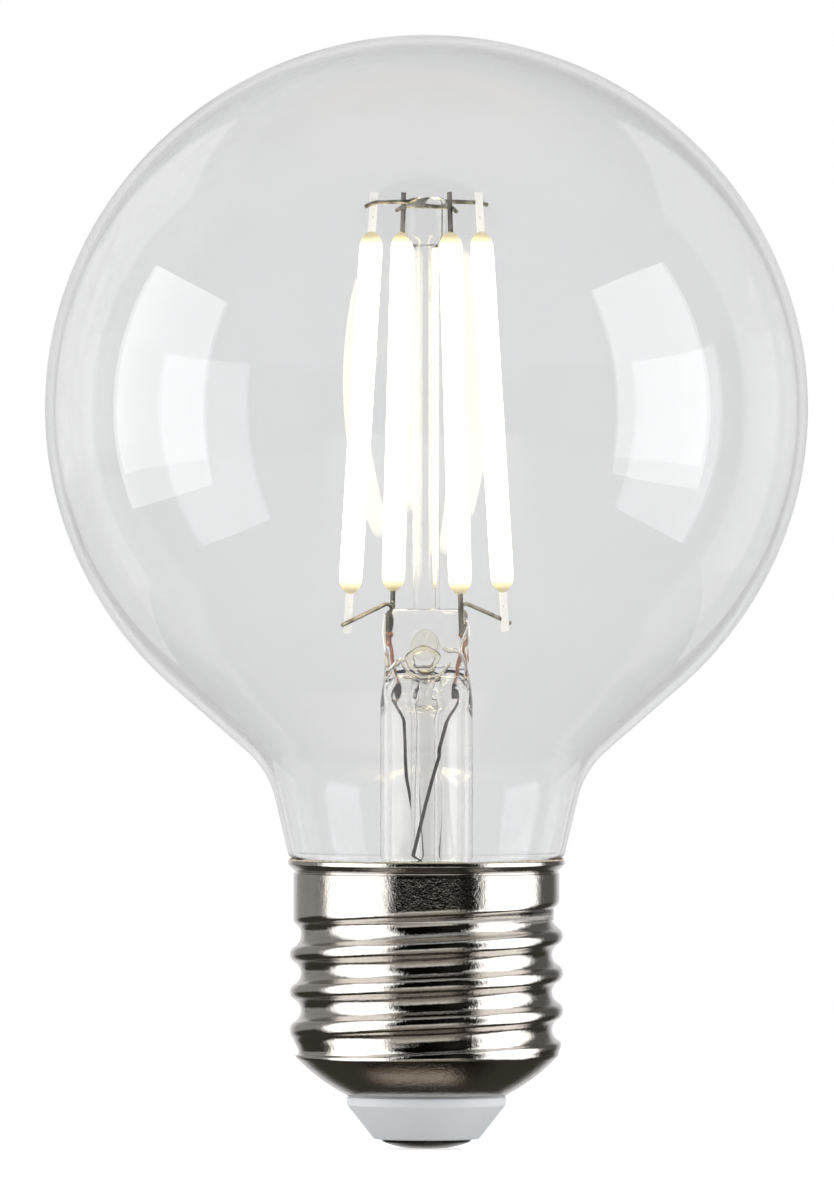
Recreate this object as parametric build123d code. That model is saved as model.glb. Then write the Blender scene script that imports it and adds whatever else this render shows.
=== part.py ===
from build123d import *
import os
from math import atan2, cos, degrees, radians, sin

# LED filament bulb: a clear globe on an E27 screw cap, with four upright filaments on a glass stem.
# Millimetres. The origin is the lowest point of the centre contact, +Z runs up the bulb's axis.
# Seen from the front, +X is to the right and +Y points away.

# Screw cap, from the E27 lamp cap: pitch of seven threads to the inch, crest diameter 26.4
thread_pitch = 25.4 / 7
crest_radius = 13.2
thread_depth = 1.15
thread_turns = 3.3
thread_bottom = 9.9
thread_start_angle = 200.0
run_out_share = 0.25
sheet = 0.3
collar_radius = 12.86
collar_foot_z = 22.4
collar_top_z = 26.6
lip_radius = 13.38
lip_top_z = 27.95
dome_top = (12.8, 9.0)
dome_middle = (10.5, 6.86)
dome_end_z = 5.0
dome_hole_radius = 7.5

# Insulator and centre contact
insulator_radius = 7.7
insulator_band_z = 4.2
insulator_tip_radius = 5.1
insulator_base_z = 0.9
insulator_wall = 1.4
insulator_bore_radius = 1.1
flange_radius = 8.8
flange_bottom_z = 6.1
flange_top_z = 7.2
contact_radius = 4.45
contact_flat_radius = 1.0
contact_sheet = 0.35
contact_rim_z = 2.0

# Blown glass envelope
globe_radius = 36.9
globe_half_height = 36.1
globe_centre_z = 71.6
globe_wall = 0.8
neck_start_angle = 48.4
neck_corner_radius = 15.3
neck_bend = 8.5
shoulder = (13.35, 28.4)
shoulder_bend = 0.9
throat = (12.3, 27.3)
throat_bend = 0.8
seal_z = 22.1

# Glass stem: flare, tube and pinched press
stem_radius = 4.5
stem_wall = 0.8
bell_corner_z = 24.0
bell_bend = 4.5
bell_rim_z = 22.9
tube_top_z = 43.4
press_z = 46.8
press_top_z = 52.2
press_width = 8.0
press_thickness = 3.6
press_corner = 1.5
cavity_shoulder_z = 42.8
cavity_top_z = 45.2
cavity_width = 6.5
cavity_thickness = 3.2
blow_hole_z = 47.3
blow_hole_radius = 0.8
blow_mouth_radius = 1.2
blow_boss_radius = 2.5
blow_boss_front = 2.5

# Exhaust tube and the rod that carries the top wires
exhaust_radius = 1.5
exhaust_bore = 0.8
exhaust_tip_z = 19.5
rod_radius = 1.3
button_radius = 1.95
button_z = 88.2
rod_top_z = 92.0

# Filaments: four of the same, leaning in towards the top
filament_names = ("right", "back", "left", "front")
filament_turn = 23.7
filament_bottom = (8.1, 53.7)
filament_top = (5.75, 88.7)
coat_radius = 1.1
coat_nose = 1.6
strip_width = 0.8
strip_thickness = 0.4
strip_inset = 1.5
chip_count = 28
chip_size = (0.3, 0.15, 0.56)
tab_width = 0.75
tab_thickness = 0.2
tab_reach = 3.8
tab_hole_radius = 0.14

# Wires
support_radius = 0.2
weld_bite = 0.06
lead_x = 3.3
seal_knot_z = 49.7
seal_knot_radius = 0.36
seal_end = (2.6, 44.4)
arm_top_z = 52.95
arm_weld_z = 51.0
arm_spare = 0.9
top_wire_z = (91.6, 91.1)
top_wire_spare = 1.0
lead_radius = 0.17

# Driver inside the cap
board_bottom_z = 15.5
board_thickness = 1.0
board_top_z = board_bottom_z + board_thickness
sleeve_radius = 10.5
sleeve_wall = 0.3
sleeve_z = (7.245, 18.2)
board_radius = sleeve_radius - sleeve_wall
capacitor_radius = 3.15
capacitor_length = 11.0
capacitor_y = -4.6
choke_radius = 3.0
choke_neck_radius = 1.5
choke_height = 6.0
choke_flange = 0.8
choke_centre = (0.5, 4.9)
bridge_size = (4.7, 3.9, 2.4)
bridge_centre = (-5.0, 2.6)
chip_body = (4.9, 3.9, 1.5)
chip_centre = (4.4, -2.6)
resistor_size = (1.6, 0.8, 0.5)
resistor_centres = ((-6.4, -2.2), (-6.4, -3.9), (-0.4, -7.4), (2.4, -7.4), (7.6, 1.2), (-2.2, 7.6))
fuse_radius = 1.1
fuse_length = 5.2
fuse_centre = (4.4, 5.0)
live_wire_radius = 0.45
neutral_wire_radius = 0.25


def turned(*lines):
    """A solid of revolution about the bulb's axis from lines drawn as (radius, height)."""
    outline = Wire.combine([edge for line in lines for edge in line.edges()])[0]
    return revolve(Plane.XZ * Face(outline), Axis.Z, 360)


def turned_outline(*points):
    return turned(Polyline(*points, close=True))


def upright_cylinder(radius, bottom, top, x=0.0, y=0.0):
    return Solid.make_cylinder(radius, top - bottom, Plane((x, y, bottom)))


def tube_along(points, radii, radius):
    """A round wire along straight runs joined by arcs."""
    path = FilletPolyline(*points, radius=radii) if radii else Line(*points)
    start = Plane(origin=path @ 0, z_dir=path % 0)
    return sweep(start * Circle(radius), path=path)


def cut_all(body, tools):
    for tool in tools:
        body = body - tool
    return body


# Screw cap

def groove(inset):
    """The thread's rolled groove, five flats wide, with both ends running out of the sheet."""
    root = crest_radius - thread_depth
    half = [(root, 0.42), (root + 0.33, 0.95), (crest_radius + 0.35, 1.65)]
    section = make_face(Polyline(*half, *[(r, -z) for r, z in reversed(half)], close=True))
    if inset:
        section = offset(section, inset, kind=Kind.INTERSECTION)
    section = Plane.XZ * section
    main_height = thread_pitch * thread_turns
    end_height = thread_pitch * run_out_share
    lift = degrees(atan2(thread_depth + inset + 0.3, end_height))
    main = sweep(section, path=Helix(thread_pitch, main_height, crest_radius), is_frenet=True)
    end_path = Helix(thread_pitch, end_height, crest_radius, cone_angle=lift)
    end = sweep(section, path=end_path, is_frenet=True)
    upper_end = Pos(0, 0, main_height) * Rot(0, 0, 360 * thread_turns) * end
    place = Pos(0, 0, thread_bottom) * Rot(0, 0, thread_start_angle)
    return [place * piece for piece in (main, upper_end, Rot(180, 0, 0) * end)]


def cap_body(inset):
    """The cap as a filled body, its surface drawn in by the inset: zero outside, one sheet inside."""
    thread_low = dome_top[1] + 0.45
    collar_low = collar_foot_z + 0.1
    collar_high = collar_top_z + inset / 2
    crest, collar, lip = (r - inset for r in (crest_radius, collar_radius, lip_radius))
    dome_start = (dome_top[0] - 0.8 * inset, dome_top[1] + 0.6 * inset)
    dome_bulge = (dome_middle[0] - 0.65 * inset, dome_middle[1] + 0.75 * inset)
    dome_end = (dome_hole_radius, dome_end_z + inset)
    top = lip_top_z + inset
    grooves = groove(inset)
    threads = cut_all(upright_cylinder(crest, thread_low, collar_low), grooves)
    collar_band = cut_all(upright_cylinder(collar, collar_low, collar_high), grooves)
    flare = turned_outline((0, collar_high), (collar, collar_high), (lip, collar_high + 0.75), (lip, top), (0, top))
    dome = turned(
        Polyline((0, thread_low), (crest, thread_low), dome_start),
        ThreePointArc(dome_start, dome_bulge, dome_end),
        Polyline(dome_end, (0, dome_end_z + inset), (0, thread_low)),
    )
    return threads + collar_band + flare + dome


def make_screw_shell(inner):
    hole = upright_cylinder(dome_hole_radius, dome_end_z - 1, dome_end_z + 1)
    return cap_body(0) - inner - hole


def make_insulator():
    """Hollow cone that holds the contact, with a flange that seats on the cap's rolled-in end."""
    slope = (insulator_band_z - insulator_base_z) / (insulator_radius - insulator_tip_radius)
    floor = contact_rim_z + 0.5
    inner_radius = insulator_radius - insulator_wall
    outer = FilletPolyline(
        (dome_hole_radius, dome_end_z - 0.05),
        (insulator_radius, dome_end_z - 0.05),
        (insulator_radius, insulator_band_z),
        (insulator_tip_radius, insulator_base_z),
        (contact_radius, insulator_base_z),
        radius=[0, 0.25, 0.35],
    )
    inner = Polyline(
        (contact_radius, insulator_base_z),
        (contact_radius, contact_rim_z),
        (contact_radius - contact_sheet, contact_rim_z),
        (contact_radius - contact_sheet, contact_rim_z - 0.9),
        (insulator_bore_radius, contact_rim_z - 0.9),
        (insulator_bore_radius, floor),
        (inner_radius - (insulator_band_z - floor) / slope, floor),
        (inner_radius, insulator_band_z),
        (inner_radius, flange_top_z),
        (flange_radius, flange_top_z),
        (flange_radius, flange_bottom_z),
        (dome_hole_radius, flange_bottom_z),
        (dome_hole_radius, dome_end_z - 0.05),
    )
    return turned(outer, inner)


def make_contact():
    """Pressed contact: shallow dome with a small flat, and a rim that grips the insulator."""
    edge = contact_radius - 0.25
    inside = contact_radius - contact_sheet
    below = TangentArc((contact_flat_radius, 0), (edge, 0.62), tangent=(1, 0))
    above = TangentArc((contact_flat_radius, contact_sheet), (inside, 0.95), tangent=(1, 0))
    return turned(
        Line((0, 0), (contact_flat_radius, 0)),
        below,
        Polyline((edge, 0.62), (contact_radius, insulator_base_z), (contact_radius, contact_rim_z)),
        Polyline((contact_radius, contact_rim_z), (inside, contact_rim_z), (inside, 0.95)),
        above,
        Polyline((contact_flat_radius, contact_sheet), (0, contact_sheet), (0, 0)),
    )


# Glass

def envelope_outline(inset):
    """Half outline of the globe and neck, from the crown down to the seal."""
    width, height = globe_radius - inset, globe_half_height - inset
    steps = 12
    points, slope = [], None
    for k in range(steps + 1):
        a = radians(-neck_start_angle + (90 + neck_start_angle) * k / steps)
        points.append((width * cos(a), globe_centre_z + height * sin(a)))
        slope = slope or (-width * sin(a), height * cos(a))
    points[-1] = (0, globe_centre_z + height)
    crown = Spline(*points, tangents=[slope, (-1, 0)])
    start, rising = crown @ 0, crown % 0
    corner_radius = neck_corner_radius - 0.9 * inset
    corner_z = start.Y - rising.Y * (start.X - corner_radius) / rising.X
    drop = 0.4 * inset
    neck = FilletPolyline(
        (start.X, start.Y),
        (corner_radius, corner_z),
        (shoulder[0] - inset, shoulder[1] - drop),
        (throat[0] - inset, throat[1] - drop),
        (throat[0] - inset, seal_z),
        radius=[neck_bend + inset, shoulder_bend, throat_bend],
    )
    return crown, neck


def make_envelope():
    crown, neck = envelope_outline(0)
    inner_crown, inner_neck = envelope_outline(globe_wall)
    rim, pole = Line(neck @ 1, inner_neck @ 1), Line(inner_crown @ 1, crown @ 1)
    return turned(crown, neck, rim, inner_neck, inner_crown, pole)


def make_cement(cap_inside):
    """Cement ring between the glass neck and the cap's collar."""
    low, high = 24.0, lip_top_z - 0.1
    blank = upright_cylinder(lip_radius - sheet, low, high) & cap_inside
    neck = envelope_outline(0)[1]
    filled_neck = turned(neck, Polyline(neck @ 1, (0, seal_z), (0, (neck @ 0).Y), neck @ 0))
    return blank - filled_neck


def stem_section(width, depth, corner, z):
    return Pos(0, 0, z) * RectangleRounded(width, depth, corner)


def make_flare(wires):
    """Flared glass tube, pinched flat over the wires, with the hole blown through its front."""
    rim = throat[0] - globe_wall
    bore = stem_radius - stem_wall
    outside = FilletPolyline(
        (stem_radius, tube_top_z), (stem_radius, bell_corner_z), (rim, bell_rim_z), radius=bell_bend
    )
    inside = FilletPolyline(
        (bore, tube_top_z),
        (bore, bell_corner_z - stem_wall),
        (rim, bell_rim_z - stem_wall),
        radius=bell_bend + stem_wall,
    )
    bell = turned(outside, Line(outside @ 1, inside @ 1), inside, Line(outside @ 0, inside @ 0))
    plug = upright_cylinder(stem_radius, cavity_shoulder_z, tube_top_z)
    shoulder_loft = loft(
        [
            Pos(0, 0, tube_top_z) * Circle(stem_radius),
            stem_section(press_width, press_thickness, press_corner, press_z),
        ]
    )
    press = extrude(stem_section(press_width, press_thickness, press_corner, press_z), press_top_z - press_z)
    press = fillet(press.edges().group_by(Axis.Z)[-1], 0.6)
    front = Plane((0, 0, blow_hole_z), x_dir=(1, 0, 0), z_dir=(0, -1, 0))
    boss = Solid.make_cone(blow_boss_radius + 0.6, blow_boss_radius - 0.7, blow_boss_front, front)
    boss = fillet(boss.edges().group_by(Axis.Y)[0], 0.4)
    cavity = loft(
        [
            Pos(0, 0, cavity_shoulder_z) * Circle(bore),
            stem_section(cavity_width, cavity_thickness, press_corner - 0.1, cavity_top_z),
        ]
    )
    channel = upright_cylinder(exhaust_bore, cavity_top_z - 0.1, blow_hole_z)
    throat_hole = Solid.make_cylinder(blow_hole_radius, blow_boss_front + 1, front)
    mouth_front = Plane((0, -blow_boss_front + 0.9, blow_hole_z), x_dir=(1, 0, 0), z_dir=(0, -1, 0))
    mouth = Solid.make_cone(blow_hole_radius, blow_mouth_radius, 0.91, mouth_front)
    end = Sphere(exhaust_bore)
    body = bell + plug + shoulder_loft + press + boss
    return cut_all(body, [cavity, channel, Pos(0, 0, blow_hole_z) * end, throat_hole, mouth, *wires])


def make_exhaust_tube():
    tip_bore = exhaust_tip_z + exhaust_radius
    return turned(
        Line((exhaust_bore, cavity_top_z), (exhaust_radius, cavity_top_z)),
        Line((exhaust_radius, cavity_top_z), (exhaust_radius, exhaust_tip_z + exhaust_radius)),
        CenterArc((0, exhaust_tip_z + exhaust_radius), exhaust_radius, 0, -90),
        Line((0, exhaust_tip_z), (0, tip_bore)),
        CenterArc((0, tip_bore + exhaust_bore), exhaust_bore, -90, 90),
        Line((exhaust_bore, tip_bore + exhaust_bore), (exhaust_bore, cavity_top_z)),
    )


def make_rod(wires):
    """Solid glass rod with the button melted round the two top wires."""
    neck_z = button_z - 0.9
    outline = FilletPolyline(
        (rod_radius, press_top_z),
        (rod_radius, neck_z),
        (button_radius, button_z),
        (button_radius, rod_top_z),
        (0, rod_top_z),
        radius=[1.0, 0.8, 0.7],
    )
    rod = turned(outline, Polyline((0, rod_top_z), (0, press_top_z), (rod_radius, press_top_z)))
    return cut_all(rod, wires)


# Filaments

def filament_length():
    return Vector(filament_top[0] - filament_bottom[0], filament_top[1] - filament_bottom[1]).length


def filament_place(index):
    """Where a filament drawn along Z, centred on the origin with +X outward, stands in the bulb."""
    lean = degrees(atan2(filament_top[0] - filament_bottom[0], filament_top[1] - filament_bottom[1]))
    middle = Vector(filament_bottom[0] + filament_top[0], filament_bottom[1] + filament_top[1]) / 2
    return Rot(0, 0, filament_turn + 90 * index) * Pos(middle.X, 0, middle.Y) * Rot(0, lean, 0)


def filament_pieces():
    """One filament upright at the origin: strip, its light-emitting chips, two end tabs and the coat."""
    half = filament_length() / 2
    strip = Box(strip_width, strip_thickness, 2 * (half - strip_inset))
    tab_length = tab_reach + strip_inset
    tab_centre = half - strip_inset + tab_length / 2
    pierced = Rot(90, 0, 0) * Cylinder(tab_hole_radius, 1)
    tab = Box(tab_width, tab_thickness, tab_length) - Pos(0, 0, 0.2) * pierced
    tabs = {"top": Pos(0, 0, tab_centre) * tab, "bottom": Pos(0, 0, -tab_centre) * Rot(180, 0, 0) * tab}
    pitch = 2 * (half - strip_inset - 0.9) / (chip_count - 1)
    chip_y = -(strip_thickness + chip_size[1]) / 2
    chips = [Pos(0, chip_y, pitch * (i - (chip_count - 1) / 2)) * Box(*chip_size) for i in range(chip_count)]
    shoulder_z = half - coat_nose
    round_off = 0.55
    nose = Bezier(
        (coat_radius, shoulder_z),
        (coat_radius, shoulder_z + round_off * coat_nose),
        (round_off * coat_radius, half),
        (0, half),
    )
    coat = turned(
        nose,
        Line((coat_radius, shoulder_z), (coat_radius, -shoulder_z)),
        mirror(nose, Plane.XZ),
        Line((0, half), (0, -half)),
    )
    coat = cut_all(coat, [strip, *chips, *tabs.values()])
    return strip, Compound(children=chips), tabs, coat


# Wires

def around(radius, angle, side=0.0):
    """A point at a radius and a turn about the axis, moved sideways by side."""
    a = radians(angle)
    return radius * cos(a) - side * sin(a), radius * sin(a) + side * cos(a)


def filament_radius_at(z):
    share = (z - filament_bottom[1]) / (filament_top[1] - filament_bottom[1])
    return filament_bottom[0] + (filament_top[0] - filament_bottom[0]) * share


def weld_point(index, z):
    """Centre of a wire that is welded to the side of a filament's tab."""
    side = tab_thickness / 2 + support_radius - weld_bite
    return around(filament_radius_at(z), filament_turn + 90 * index, side)


def make_top_wire(index):
    """Wire from one filament's top tab across the button to the opposite one."""
    z = top_wire_z[index]
    near, far = weld_point(index, z), weld_point(index + 2, z)
    side = tab_thickness / 2 + support_radius - weld_bite
    reach = filament_radius_at(z) + top_wire_spare
    angle = filament_turn + 90 * index
    start, end = around(reach, angle, side), around(reach, angle + 180, side)
    points = [
        (*start, z - 0.35),
        (*near, z - 0.1),
        (*around(1.6, angle, 0), z),
        (*around(-1.6, angle, 0), z),
        (*far, z - 0.1),
        (*end, z - 0.5),
    ]
    return tube_along(points, [2.0, 4.0, 4.0, 2.0], support_radius)


def make_arm(index, x, y):
    """Wire that rises from the press and bends out to a filament's bottom tab."""
    weld = Vector(*weld_point(index, arm_weld_z), arm_weld_z)
    bend = Vector(x, y, arm_top_z)
    end = weld + (weld - bend).normalized() * arm_spare
    return tube_along([(x, y, seal_knot_z + 0.2), bend, end], [0.7], support_radius)


def make_seal_wire(side):
    """Copper-clad wire through the pinched glass, slanting in below the weld knot."""
    knot = (side * lead_x, 0, seal_knot_z)
    wire = tube_along([knot, (side * seal_end[0], 0, seal_end[1])], None, support_radius)
    return wire + Pos(*knot) * Sphere(seal_knot_radius)


def make_lead_wire(side):
    """Bare lead from the press down past the exhaust tube to the driver board."""
    routes = {
        -1: [(-2.2, 0.3, 42.0), (-2.0, 1.3, 36.3), (-0.6, 2.7, 28.0), (-0.8, 4.6, 21.0)],
        1: [(2.0, -0.7, 41.9), (1.2, -1.7, 39.0), (-1.35, -2.6, 28.0), (-2.4, -4.2, 21.0)],
    }
    ends = {-1: (-0.8, 5.4, board_top_z), 1: (-2.4, -4.9, board_top_z)}
    start = (side * seal_end[0], 0, seal_end[1])
    return tube_along([start, *routes[side], ends[side]], [3.0, 3.0, 4.0, 4.0], lead_radius)


# Driver

def make_board(tools):
    board = upright_cylinder(board_radius, board_bottom_z, board_top_z)
    return cut_all(board, tools)


def make_capacitor():
    """Electrolytic can lying under the board, with its crimped groove."""
    half = capacitor_length / 2
    can = Rot(0, 90, 0) * Cylinder(capacitor_radius, capacitor_length)
    can = chamfer(can.edges().filter_by(GeomType.CIRCLE), 0.4)
    crimp = Cylinder(capacitor_radius, 0.8) - Cylinder(capacitor_radius - 0.3, 0.8)
    can = can - Pos(half - 1.8, 0, 0) * Rot(0, 90, 0) * crimp
    return Pos(0, capacitor_y, board_bottom_z - capacitor_radius) * can


def make_choke():
    """Drum core and its winding, standing under the board."""
    x, y = choke_centre
    bottom = board_bottom_z - choke_height
    low, high = bottom + choke_flange, board_bottom_z - choke_flange
    core = upright_cylinder(choke_neck_radius, low, high, x, y)
    core = core + upright_cylinder(choke_radius, bottom, low, x, y)
    core = core + upright_cylinder(choke_radius, high, board_bottom_z, x, y)
    winding = upright_cylinder(choke_radius - 0.3, low, high, x, y)
    return core, winding - upright_cylinder(choke_neck_radius, low, high, x, y)


def leaded_package(size, centre, legs):
    """Moulded package on the board with gull-wing legs on both long sides."""
    length, depth, height = size
    gap = 0.1
    body = Pos(0, 0, gap + height / 2) * Box(length, depth, height)
    body = fillet(body.edges().filter_by(Axis.Z), 0.2)
    spacing = length / legs
    for k in range(legs):
        x = (k - (legs - 1) / 2) * spacing
        for side in (-1, 1):
            foot = Pos(x, side * (depth / 2 + 0.5), 0.1) * Box(0.4, 0.7, 0.2)
            leg = Pos(x, side * (depth / 2 + 0.2), height * 0.25 + 0.1) * Box(0.4, 0.5, height * 0.5 + 0.2)
            body = body + foot + leg
    return Pos(*centre, board_top_z) * body


def make_resistors():
    length, depth, height = resistor_size
    chip = Pos(0, 0, height / 2) * Box(length, depth, height)
    return Compound(children=[Pos(x, y, board_top_z) * chip for x, y in resistor_centres])


def make_fuse():
    """Fusible resistor lying on the board, its ends rounded."""
    body = Rot(0, 90, 0) * Cylinder(fuse_radius, fuse_length)
    body = chamfer(body.edges().filter_by(GeomType.CIRCLE), 0.4)
    return Pos(*fuse_centre, board_top_z + fuse_radius) * body


def make_live_wire():
    return upright_cylinder(live_wire_radius, contact_sheet, board_bottom_z)


def make_neutral_wire():
    """Wire from the board over the sleeve to the inside of the cap's wall."""
    wall = crest_radius - thread_depth - sheet
    z = sleeve_z[1] + 0.9
    points = [(8.4, 0, board_top_z), (8.4, 0, z), (wall - 0.05, 0, z)]
    return tube_along(points, [1.0], neutral_wire_radius)


def build():
    parts = {}
    inner = cap_body(sheet)
    parts["screw_shell"] = make_screw_shell(inner)
    parts["cap_insulator"] = make_insulator()
    parts["centre_contact"] = make_contact()
    parts["glass_globe"] = make_envelope()
    parts["capping_cement"] = make_cement(inner)

    strip, chips, tabs, coat = filament_pieces()
    tab_solids = []
    for index, name in enumerate(filament_names):
        place = filament_place(index)
        parts[f"filament_{name}_strip"] = place * strip
        parts[f"filament_{name}_led_chips"] = place * chips
        parts[f"filament_{name}_phosphor_coat"] = place * coat
        for end, tab in tabs.items():
            parts[f"filament_{name}_{end}_tab"] = place * tab
            tab_solids.append(place * tab)

    seals = {"left": make_seal_wire(-1), "right": make_seal_wire(1)}
    arms = {
        "right": make_arm(0, lead_x, 0),
        "back": make_arm(1, -lead_x, 2 * support_radius + 0.02),
        "left": make_arm(2, -lead_x, 0),
        "front": make_arm(3, lead_x, -2 * support_radius - 0.02),
    }
    top_wires = {"left_right": make_top_wire(0), "front_back": make_top_wire(1)}
    for name, arm in arms.items():
        arms[name] = cut_all(arm, [*seals.values(), *tab_solids])
        parts[f"support_wire_{name}"] = arms[name]
    for name, wire in top_wires.items():
        top_wires[name] = cut_all(wire, tab_solids)
        parts[f"top_wire_{name}"] = top_wires[name]
    for side, name in ((-1, "left"), (1, "right")):
        parts[f"seal_wire_{name}"] = seals[name]
        parts[f"lead_wire_{name}"] = make_lead_wire(side) - seals[name]
    parts["stem_flare"] = make_flare([*seals.values(), *arms.values()])
    parts["exhaust_tube"] = make_exhaust_tube()
    parts["support_rod"] = make_rod(top_wires.values())

    core, winding = make_choke()
    parts["driver_board"] = make_board([])
    parts["driver_sleeve"] = upright_cylinder(sleeve_radius, *sleeve_z) - upright_cylinder(
        sleeve_radius - sleeve_wall, *sleeve_z
    )
    parts["smoothing_capacitor"] = make_capacitor()
    parts["choke_core"] = core
    parts["choke_winding"] = winding
    parts["bridge_rectifier"] = leaded_package(bridge_size, bridge_centre, 2)
    parts["driver_chip"] = leaded_package(chip_body, chip_centre, 4)
    parts["chip_resistors"] = make_resistors()
    parts["fuse_resistor"] = make_fuse()
    parts["live_wire"] = make_live_wire()
    parts["neutral_wire"] = make_neutral_wire()
    return parts


os.makedirs("parts", exist_ok=True)
for node, shape in build().items():
    export_step(shape, f"parts/{node}.step")
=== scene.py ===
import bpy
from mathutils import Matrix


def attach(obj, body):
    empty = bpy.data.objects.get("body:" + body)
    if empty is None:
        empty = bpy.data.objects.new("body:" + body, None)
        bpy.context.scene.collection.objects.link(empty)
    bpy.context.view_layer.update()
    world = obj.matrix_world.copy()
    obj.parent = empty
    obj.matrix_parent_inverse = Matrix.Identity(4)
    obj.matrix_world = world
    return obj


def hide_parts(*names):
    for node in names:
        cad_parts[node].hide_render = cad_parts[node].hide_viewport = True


bl_info = {
    "name": "LED Filament Bulb",
    "version": (1, 0, 0),
    "blender": (4, 5, 0),
    "location": "View3D > Sidebar > Bulb",
    "description": "Builds a clear globe bulb with four lit filaments on a glass stem and a rolled screw cap",
    "category": "Add Mesh",
}

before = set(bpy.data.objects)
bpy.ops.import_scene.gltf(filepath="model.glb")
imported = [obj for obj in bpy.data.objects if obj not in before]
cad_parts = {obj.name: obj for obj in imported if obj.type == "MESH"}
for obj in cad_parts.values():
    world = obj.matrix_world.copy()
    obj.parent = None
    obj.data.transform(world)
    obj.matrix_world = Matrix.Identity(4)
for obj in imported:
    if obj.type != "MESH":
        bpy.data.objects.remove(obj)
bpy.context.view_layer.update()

from math import atan2, ceil, cos, exp, hypot, pi, radians, sin, sqrt

import bpy
from bpy.props import FloatProperty, FloatVectorProperty, IntProperty, PointerProperty
from mathutils import Vector

mm = 0.001


# Sizes and colours that a user would change

class CapSizes(bpy.types.PropertyGroup):
    """The rolled screw cap, in millimetres."""

    crest_radius: FloatProperty(name="Crest radius", description="Radius over the thread's crests, in mm",
                                default=13.2, min=5.0)
    thread_depth: FloatProperty(name="Thread depth", description="Crest to root of the rolled thread, in mm",
                                default=1.05, min=0.1)
    thread_pitch: FloatProperty(name="Thread pitch", description="Rise of the thread in one turn, in mm",
                                default=25.4 / 7, min=0.5)
    collar_radius: FloatProperty(name="Collar radius",
                                 description="Radius of the plain band above the thread, in mm",
                                 default=12.86, min=5.0)
    sheet: FloatProperty(name="Sheet", description="Thickness of the cap's metal, in mm",
                         default=0.3, min=0.05)
    steps_round: IntProperty(name="Steps round", description="Mesh columns round the cap",
                             default=240, min=24, max=360)


class GlassSizes(bpy.types.PropertyGroup):
    """The blown globe, its neck and the glass stem, in millimetres."""

    globe_radius: FloatProperty(name="Globe radius", description="Widest radius of the globe, in mm",
                                default=36.9, min=10.0)
    globe_half_height: FloatProperty(name="Globe half height",
                                     description="Half the height of the globe's crown, in mm",
                                     default=36.1, min=10.0)
    globe_centre: FloatProperty(name="Globe centre", description="Height of the globe's widest place, in mm",
                                default=71.6)
    wall: FloatProperty(name="Wall", description="Thickness of the blown glass, in mm", default=0.8, min=0.1)
    steps_round: IntProperty(name="Steps round", description="Mesh columns round the globe",
                             default=192, min=24, max=360)


class Finishes(bpy.types.PropertyGroup):
    """Colours of the bulb's finishes and the strength of its light."""

    nickel: FloatVectorProperty(name="Nickel", description="Colour of the plated cap",
                                subtype="COLOR", default=(0.52, 0.495, 0.465), min=0, max=1)
    plastic: FloatVectorProperty(name="Insulator", description="Colour of the moulded insulator",
                                 subtype="COLOR", default=(0.86, 0.895, 0.93), min=0, max=1)
    glass: FloatVectorProperty(name="Glass", description="Tint of the blown glass",
                               subtype="COLOR", default=(0.862, 0.864, 0.868), min=0, max=1)
    phosphor: FloatVectorProperty(name="Phosphor", description="Colour of the lit filament coats",
                                  subtype="COLOR", default=(1.0, 0.84, 0.55), min=0, max=1)
    glow: FloatProperty(name="Glow", description="Strength of the lit filaments", default=6.5, min=0.0)


class StageSizes(bpy.types.PropertyGroup):
    """The camera, the floor and the lamps."""

    pixels_per_mm: FloatProperty(name="Scale",
                                 description="Pixels for each mm at the bulb, in a picture 1200 pixels high",
                                 default=10.34, min=1.0)
    distance: FloatProperty(name="Camera distance", description="From the camera to the bulb's axis",
                            default=3.0, min=0.5, unit="LENGTH")
    elevation: FloatProperty(name="Camera elevation", description="How far the camera looks down",
                             default=radians(1.0), subtype="ANGLE")
    card_strength: FloatProperty(name="Soft boxes", description="Brightness of the side soft boxes",
                                 default=1.9, min=0.0)


# Shader expressions

class Socket:
    """A shader value that arithmetic adds nodes to."""

    def __init__(self, tree, link):
        self.tree, self.link = tree, link

    def _join(self, operation, first, second):
        node = self.tree.nodes.new("ShaderNodeMath")
        node.operation = operation
        for slot, value in zip(node.inputs, (first, second)):
            if isinstance(value, Socket):
                self.tree.links.new(value.link, slot)
            else:
                slot.default_value = value
        return Socket(self.tree, node.outputs[0])

    def __add__(self, other):
        return self._join("ADD", self, other)

    def __radd__(self, other):
        return self._join("ADD", other, self)

    def __sub__(self, other):
        return self._join("SUBTRACT", self, other)

    def __rsub__(self, other):
        return self._join("SUBTRACT", other, self)

    def __mul__(self, other):
        return self._join("MULTIPLY", self, other)

    def __rmul__(self, other):
        return self._join("MULTIPLY", other, self)

    def __pow__(self, other):
        return self._join("POWER", self, other)

    def __abs__(self):
        return self._join("ABSOLUTE", self, 0.0)

    def clip(self):
        return (self + 0.0)._clamped()

    def _clamped(self):
        self.link.node.use_clamp = True
        return self

    def ramp(self, low, high):
        """0 at low, 1 at high, with soft ends."""
        return finish_node(self.tree, "ShaderNodeMapRange", {"interpolation_type": "SMOOTHSTEP"},
                           {"Value": self, "From Min": low, "From Max": high}, "Result")


def finish_node(tree, kind, settings, values, output=0):
    """Adds a node: its settings first, then the values or links of its sockets. Returns one output."""
    node = tree.nodes.new(kind)
    for name, value in settings.items():
        setattr(node, name, value)
    for name, value in values.items():
        slot = node.inputs[name]
        if isinstance(value, Socket):
            tree.links.new(value.link, slot)
        elif slot.type == "RGBA" and len(value) == 3:
            slot.default_value = (*value, 1.0)
        else:
            slot.default_value = value
    return Socket(tree, node.outputs[output])


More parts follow.
